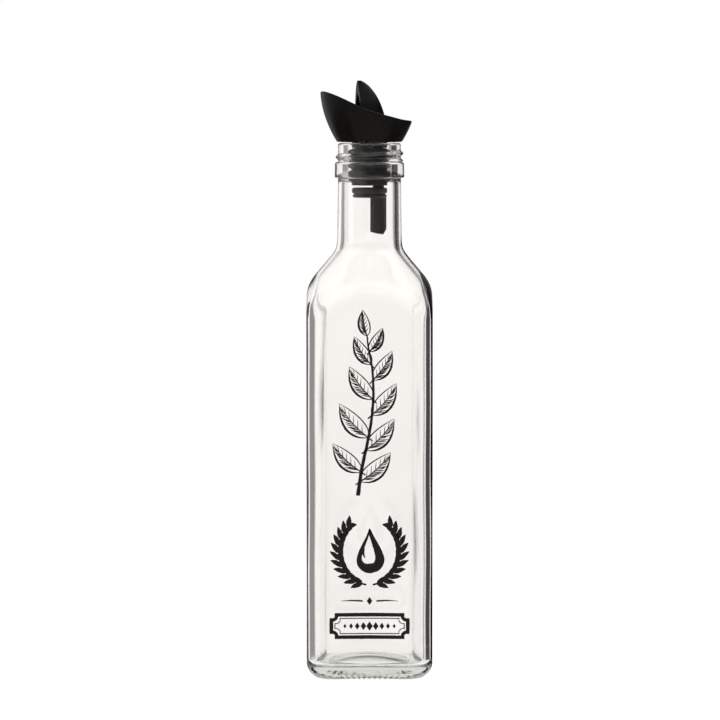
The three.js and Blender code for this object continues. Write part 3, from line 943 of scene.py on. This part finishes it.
def pale_floor(glow):
    n = Nodes("pale_floor")
    n.to(n.ramp(n.noise(6, 3), (0.3, (0.43, 0.43, 0.425)), (0.7, (0.45, 0.45, 0.445))), "Base Color")
    n.set(Roughness=0.7, Specular_IOR_Level=0.2)
    n.set(Emission_Color=(1, 0.995, 0.985, 1), Emission_Strength=glow)
    return n.material


# Pieces of the bottle

glass = new_piece("glass_bottle", *glass_mesh(), clear_glass())
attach(glass, "root")
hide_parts("bottle")

for name, node, slot, material, distance, low, high, cell in (
        ("pourer_cup_and_hood", "pourer_head", "black_plastic", black_plastic, head_distance,
         (-24, -24, CUP_BASE - COLLAR_DEPTH), (24, 24, CUP_BASE + HOOD_TOP), 0.36),
        ("ribbed_plug", "stopper_plug", "dark_rubber", dark_rubber, plug_distance,
         (-10.5, -10.5, PLUG_LOW), (10.5, 10.5, PLUG_TOP), 0.3),
        ("vent_tube_with_discs", "vent_tube", "grey_plastic", grey_plastic, tube_distance,
         (-8.6, -8.6, TUBE_LOW - 1), (8.6, 8.6, SPIGOT_TOP), 0.25)):
    points, quads, normals = net_mesh(distance, low, high, cell)
    piece = new_piece(name, turn_pourer(points), quads.tolist(), material(), turn_pourer(normals))
    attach(piece, "root")
    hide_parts(node)

front_print = new_piece("front_print", *print_mesh(), black_ink())
front_print.data.shade_flat()
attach(front_print, "root")


# Floor, light and camera

def disc(name, radius, z, material):
    turns = np.linspace(0, 2 * np.pi, DISC_SIDES + 1)[:-1]
    corners = [(radius * math.cos(t), radius * math.sin(t), z) for t in turns]
    mesh = bpy.data.meshes.new(name)
    mesh.from_pydata(corners, [], [list(range(len(corners)))])
    mesh.materials.append(material)
    made = bpy.data.objects.new(name, mesh)
    bpy.context.scene.collection.objects.link(made)
    made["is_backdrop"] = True
    return made


# Painted shade: the glass shows a dimmer glowing disc under it, standing in for the shaded floor, and
# not the bright floor around
floor = disc("floor", FLOOR_RADIUS, 0, pale_floor(FLOOR_GLOW))
floor.visible_transmission = False
floor.visible_glossy = False
disc("floor_in_shade", SHADE_RADIUS, -SHADE_DEPTH, pale_floor(SHADE_GLOW))
scene = bpy.context.scene
world = bpy.data.worlds.new("studio")
world.use_nodes = True
scene.world = world
tree = world.node_tree


def world_node(kind, **inputs):
    node = tree.nodes.new(kind)
    for name, value in inputs.items():
        socket = node.inputs[name.replace("_", " ")]
        if isinstance(value, bpy.types.NodeSocket):
            tree.links.new(value, socket)
        else:
            socket.default_value = value
    return node


def world_step(value, span, to_low, to_high, kind="SMOOTHSTEP"):
    node = world_node("ShaderNodeMapRange", Value=value, From_Min=span[0], From_Max=span[1],
                      To_Min=to_low, To_Max=to_high)
    node.interpolation_type = kind
    return node.outputs["Result"]


def world_math(operation, *values):
    node = tree.nodes.new("ShaderNodeMath")
    node.operation = operation
    for value, socket in zip(values, node.inputs):
        tree.links.new(value, socket)
    return node.outputs["Value"]


direction = tree.nodes.new("ShaderNodeTexCoord").outputs["Generated"]
towards = world_node("ShaderNodeSeparateXYZ", Vector=direction)
level = world_node("ShaderNodeVectorMath", Vector=direction)
level.operation = "MULTIPLY"
level.inputs[1].default_value = (1, 1, 0)
around = tree.nodes.new("ShaderNodeVectorMath")
around.operation = "NORMALIZE"
tree.links.new(level.outputs["Vector"], around.inputs[0])
bearing = tree.nodes.new("ShaderNodeVectorMath")
bearing.operation = "DOT_PRODUCT"
panel_turn = math.radians(PANEL_TURN)
bearing.inputs[1].default_value = (math.sin(panel_turn), math.cos(panel_turn), 0)
tree.links.new(around.outputs["Vector"], bearing.inputs[0])
place = world_step(bearing.outputs["Value"], (-1, 1), 0, 1, "LINEAR")


def panel_ramp(panels):
    node = world_node("ShaderNodeValToRGB", Fac=place)
    elements = node.color_ramp.elements
    while len(elements) < len(panels):
        elements.new(0.5)
    for element, (position, value) in zip(elements, panels):
        element.position = position
        element.color = (value, value, value, 1)
    return node.outputs["Color"]


toward_x = towards.outputs["X"]
toward_y = towards.outputs["Y"]
toward_z = towards.outputs["Z"]

# What rays through the glass meet: panels, left fill, a ring overhead, the floor and the low front
overhead = world_step(toward_z, OVERHEAD_SPAN, 0.0, OVERHEAD_LIGHT)
zenith = world_step(toward_z, ZENITH_SPAN, 1.0, ZENITH_SHARE)
overhead = world_math("MULTIPLY", overhead, zenith)
below = world_step(toward_z, BELOW_SPAN, 1.0, 0.0)
tall = world_step(toward_z, PANEL_TOP_SPAN, 1.0, PANEL_TOP_SHARE)
lower = world_step(toward_z, PANEL_LOW_SPAN, *PANEL_LOW_SHARES)
panels = world_math("MULTIPLY", world_math("MULTIPLY", panel_ramp(PANELS), lower), tall)
fill = world_math("MULTIPLY", world_step(toward_x, FILL_SPAN, 1.0, 0.0),
                  world_step(toward_z, FILL_HEIGHT_SPAN, LEFT_FILL, LEFT_HIGH_FILL))
panels = world_math("MAXIMUM", panels, fill)
studio = world_math("MAXIMUM", world_math("MAXIMUM", panels, overhead), below)
front = world_math("MULTIPLY", world_step(toward_z, FRONT_HEIGHT_SPAN, FRONT_LIGHT, 0.0),
                   world_step(toward_y, FRONT_SPAN, 1.0, 0.0))
studio = world_math("MAXIMUM", studio, front)

# What mirrored rays meet: dimmer level panels, a high ring and a sheen on the left
slant = world_math("ABSOLUTE", toward_z)
slanted = world_step(slant, SLANT_SPAN, LEVEL_SHARE, 1.0)
crown = world_math("MULTIPLY", world_step(toward_z, CROWN_LOW_SPAN, 0.0, CROWN_LIGHT),
                   world_step(toward_z, CROWN_HIGH_SPAN, 1.0, CROWN_ZENITH_SHARE))
mirrored = world_math("MULTIPLY", panel_ramp(MIRRORED_PANELS), slanted)
mirrored = world_math("MAXIMUM", mirrored, crown)
left_sheen = world_math("MULTIPLY", world_step(toward_x, SHEEN_SPAN, LEFT_SHEEN, 0.0),
                        world_step(slant, SHEEN_SLANT_SPAN, 1.0, 0.0))
mirrored = world_math("MAXIMUM", mirrored, left_sheen)

# The camera itself sees plain white round the bottle
rays = tree.nodes.new("ShaderNodeLightPath")
plain = tree.nodes["Background"]
plain.inputs["Color"].default_value = (1, 1, 1, 1)
through = world_node("ShaderNodeBackground", Color=PANEL_LIGHT, Strength=studio)
sheen = world_node("ShaderNodeBackground", Color=PANEL_LIGHT, Strength=mirrored)


def world_mix(choice, first, second):
    node = world_node("ShaderNodeMixShader", Fac=choice)
    tree.links.new(first, node.inputs[1])
    tree.links.new(second, node.inputs[2])
    return node.outputs["Shader"]


is_mirrored = rays.outputs["Is Reflection Ray"]
is_camera = rays.outputs["Is Camera Ray"]
lit = world_mix(is_mirrored, through.outputs["Background"], sheen.outputs["Background"])
shown = world_mix(is_camera, lit, plain.outputs["Background"])
tree.links.new(shown, tree.nodes["World Output"].inputs["Surface"])


camera_data = bpy.data.cameras.new("camera")
camera_data.sensor_width = SENSOR
camera_data.lens = CAMERA_LENS
camera = bpy.data.objects.new("camera", camera_data)
camera.location = CAMERA_AT
camera.rotation_euler = (math.radians(90 - CAMERA_DOWN), 0, 0)
scene.collection.objects.link(camera)
scene.camera = camera

scene.view_settings.view_transform = "Standard"
scene.cycles.max_bounces = LIGHT_BOUNCES
scene.cycles.transmission_bounces = LIGHT_BOUNCES

low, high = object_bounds()
